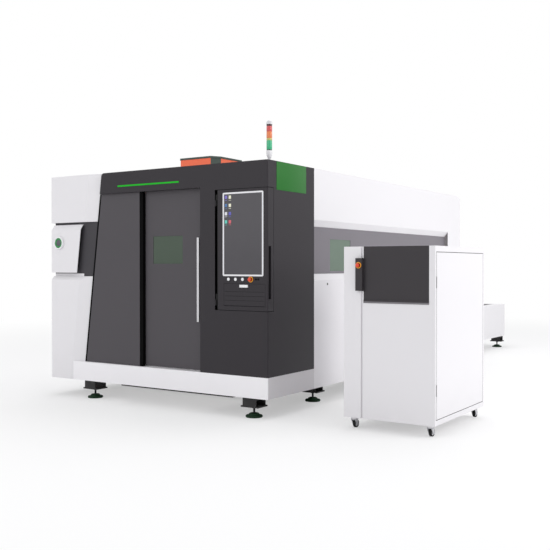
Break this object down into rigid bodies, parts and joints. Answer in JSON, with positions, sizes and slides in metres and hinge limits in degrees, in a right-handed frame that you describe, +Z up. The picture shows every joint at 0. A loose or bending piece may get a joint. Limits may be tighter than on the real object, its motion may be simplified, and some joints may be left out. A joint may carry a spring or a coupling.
{
  "type": "fiber laser cutting machine",
  "caption": "Enclosed laser cutter with sliding door, swing-out console, gantry and cutting head, two-level pallet exchange table and a rolling source cabinet.",
  "frame": {"origin": "on the floor, under the middle of the whole machine with its exchange table and source cabinet", "axes": "+X to the right seen from the front door, +Y from the front door to the exchange table, +Z up"},
  "size_m": [4.1244, 7.428, 2.5493],
  "materials": {
    "white_paint": "satin powder coat",
    "charcoal_paint": "satin powder coat",
    "grey_paint": "satin powder coat",
    "band_paint": "satin powder coat",
    "black_trim": "matt",
    "black_paint": "satin",
    "bed_paint": "satin",
    "rail_steel": "ground",
    "orange_paint": "satin powder coat",
    "green_glass": "tinted laser-safe pane",
    "screen_glass": "glossy",
    "white_plastic": "semi-gloss",
    "handle_metal": "anodised",
    "green_light": "lit",
    "lamp_bezel": "semi-gloss",
    "tower_lens": "clear coloured sections",
    "key_metal": "satin",
    "stop_red": "glossy",
    "box_grey": "semi-gloss",
    "pad_green": "moulded",
    "motor_black": "satin",
    "carriage_metal": "machined",
    "head_metal": "anodised",
    "lift_paint": "satin",
    "pallet_paint": "satin",
    "slat_steel": "raw plate",
    "caster_metal": "zinc plated",
    "caster_tyre": "rubber",
    "source_paint": "satin"
  },
  "bodies": {
    "machine": {"bed_frame": "bed_paint", "foot_brackets": "black_paint", "levelling_feet": "pad_green", "front_shell": "charcoal_paint", "left_panel": "grey_paint", "panel_seals": "black_trim", "front_skirt": "white_paint", "corner_skirt": "white_paint", "left_upper_cover": "white_paint", "left_mid_cover": "white_paint", "left_lower_cover": "white_paint", "port_lamp": "lamp_bezel", "side_upper_walls": "white_paint", "side_lower_walls": "white_paint", "window_bands": "band_paint", "side_windows": "green_glass", "rear_wall": "white_paint", "roof_panels": "white_paint", "y_rails": "rail_steel", "table_frame": "white_paint", "table_rails": "rail_steel", "led_strip": "green_light", "tower_base": "white_plastic", "tower_lamp": "tower_lens", "cabinet_shell": "white_paint", "cabinet_front_panel": "charcoal_paint", "cabinet_estop_box": "box_grey", "laser_source": "source_paint"},
    "front_door": {"front_door": "grey_paint", "door_window": "green_glass", "door_handle": "handle_metal"},
    "console_door": {"console_door": "charcoal_paint", "monitor_frame": "white_plastic", "monitor_screen": "screen_glass"},
    "button_1": {"button_1": "key_metal"},
    "button_2": {"button_2": "key_metal"},
    "button_3": {"button_3": "key_metal"},
    "console_estop": {"console_estop": "stop_red"},
    "keyboard_flap": {"keyboard_flap": "charcoal_paint"},
    "gantry": {"gantry_beam": "bed_paint", "beam_rails": "rail_steel", "beam_motors": "motor_black"},
    "carriage": {"carriage_plate": "carriage_metal", "carriage_cover": "orange_paint"},
    "cutting_head": {"cutting_head": "head_metal"},
    "bed_lift": {"lift_frame": "lift_paint"},
    "lower_pallet": {"lower_pallet": "pallet_paint", "lower_slats": "slat_steel"},
    "upper_pallet": {"upper_pallet": "pallet_paint", "upper_slats": "slat_steel"},
    "cabinet_door": {"cabinet_side_door": "white_paint"},
    "cabinet_estop": {"cabinet_estop": "stop_red"},
    "caster_fork_1": {"caster_fork_1": "caster_metal"},
    "caster_wheel_1": {"caster_wheel_1": "caster_tyre"},
    "caster_fork_2": {"caster_fork_2": "caster_metal"},
    "caster_wheel_2": {"caster_wheel_2": "caster_tyre"},
    "caster_fork_3": {"caster_fork_3": "caster_metal"},
    "caster_wheel_3": {"caster_wheel_3": "caster_tyre"},
    "caster_fork_4": {"caster_fork_4": "caster_metal"},
    "caster_wheel_4": {"caster_wheel_4": "caster_tyre"}
  },
  "joints": [
    {"name": "front_door_slide", "type": "slide", "parent": "machine", "child": "front_door", "axis": [-1, 0, 0], "range_m": [0, 0.62]},
    {"name": "console_door_hinge", "type": "hinge", "parent": "machine", "child": "console_door", "pos_m": [0.05825, -3.68, 1.4], "axis": [0, 0, -1], "range_deg": [0, 110]},
    {"name": "button_1_press", "type": "slide", "parent": "console_door", "child": "button_1", "axis": [0, 1, 0], "range_m": [0, 0.004], "stiffness_N_per_m": 400, "springref_m": -0.002},
    {"name": "button_2_press", "type": "slide", "parent": "console_door", "child": "button_2", "axis": [0, 1, 0], "range_m": [0, 0.004], "stiffness_N_per_m": 400, "springref_m": -0.002},
    {"name": "button_3_press", "type": "slide", "parent": "console_door", "child": "button_3", "axis": [0, 1, 0], "range_m": [0, 0.004], "stiffness_N_per_m": 400, "springref_m": -0.002},
    {"name": "console_estop_press", "type": "slide", "parent": "console_door", "child": "console_estop", "axis": [0, 1, 0], "range_m": [0, 0.005]},
    {"name": "keyboard_flap_hinge", "type": "hinge", "parent": "console_door", "child": "keyboard_flap", "pos_m": [0.35975, -3.68, 0.966], "axis": [1, 0, 0], "range_deg": [0, 90]},
    {"name": "gantry_travel", "type": "slide", "parent": "machine", "child": "gantry", "axis": [0, 1, 0], "range_m": [-0.19, 2.31]},
    {"name": "carriage_travel", "type": "slide", "parent": "gantry", "child": "carriage", "axis": [1, 0, 0], "range_m": [-0.406, 0.894]},
    {"name": "head_travel", "type": "slide", "parent": "carriage", "child": "cutting_head", "axis": [0, 0, 1], "range_m": [-0.11, 0]},
    {"name": "bed_lift_travel", "type": "slide", "parent": "machine", "child": "bed_lift", "axis": [0, 0, 1], "range_m": [0, 0.215]},
    {"name": "lower_pallet_travel", "type": "slide", "parent": "bed_lift", "child": "lower_pallet", "axis": [0, 1, 0], "range_m": [0, 3.54]},
    {"name": "upper_pallet_travel", "type": "slide", "parent": "machine", "child": "upper_pallet", "axis": [0, 1, 0], "range_m": [-3.54, 0]},
    {"name": "cabinet_door_hinge", "type": "hinge", "parent": "machine", "child": "cabinet_door", "pos_m": [2.05525, -3.5645, 0.77], "axis": [0, 0, -1], "range_deg": [0, 110]},
    {"name": "cabinet_estop_press", "type": "slide", "parent": "machine", "child": "cabinet_estop", "axis": [0, 1, 0], "range_m": [0, 0.005]},
    {"name": "caster_swivel_1", "type": "hinge", "parent": "machine", "child": "caster_fork_1", "pos_m": [1.34175, -3.531, 0.0717], "axis": [0, 0, 1], "continuous": true},
    {"name": "caster_roll_1", "type": "hinge", "parent": "caster_fork_1", "child": "caster_wheel_1", "pos_m": [1.34175, -3.507, 0.0325], "axis": [1, 0, 0], "continuous": true},
    {"name": "caster_swivel_2", "type": "hinge", "parent": "machine", "child": "caster_fork_2", "pos_m": [1.99325, -3.531, 0.0717], "axis": [0, 0, 1], "continuous": true},
    {"name": "caster_roll_2", "type": "hinge", "parent": "caster_fork_2", "child": "caster_wheel_2", "pos_m": [1.99325, -3.507, 0.0325], "axis": [1, 0, 0], "continuous": true},
    {"name": "caster_swivel_3", "type": "hinge", "parent": "machine", "child": "caster_fork_3", "pos_m": [1.34175, -2.568, 0.0717], "axis": [0, 0, 1], "continuous": true},
    {"name": "caster_roll_3", "type": "hinge", "parent": "caster_fork_3", "child": "caster_wheel_3", "pos_m": [1.34175, -2.544, 0.0325], "axis": [1, 0, 0], "continuous": true},
    {"name": "caster_swivel_4", "type": "hinge", "parent": "machine", "child": "caster_fork_4", "pos_m": [1.99325, -2.568, 0.0717], "axis": [0, 0, 1], "continuous": true},
    {"name": "caster_roll_4", "type": "hinge", "parent": "caster_fork_4", "child": "caster_wheel_4", "pos_m": [1.99325, -2.544, 0.0325], "axis": [1, 0, 0], "continuous": true}
  ],
  "couplings": [
    {"joint": "upper_pallet_travel", "follows": "lower_pallet_travel", "ratio": -1}
  ]
}
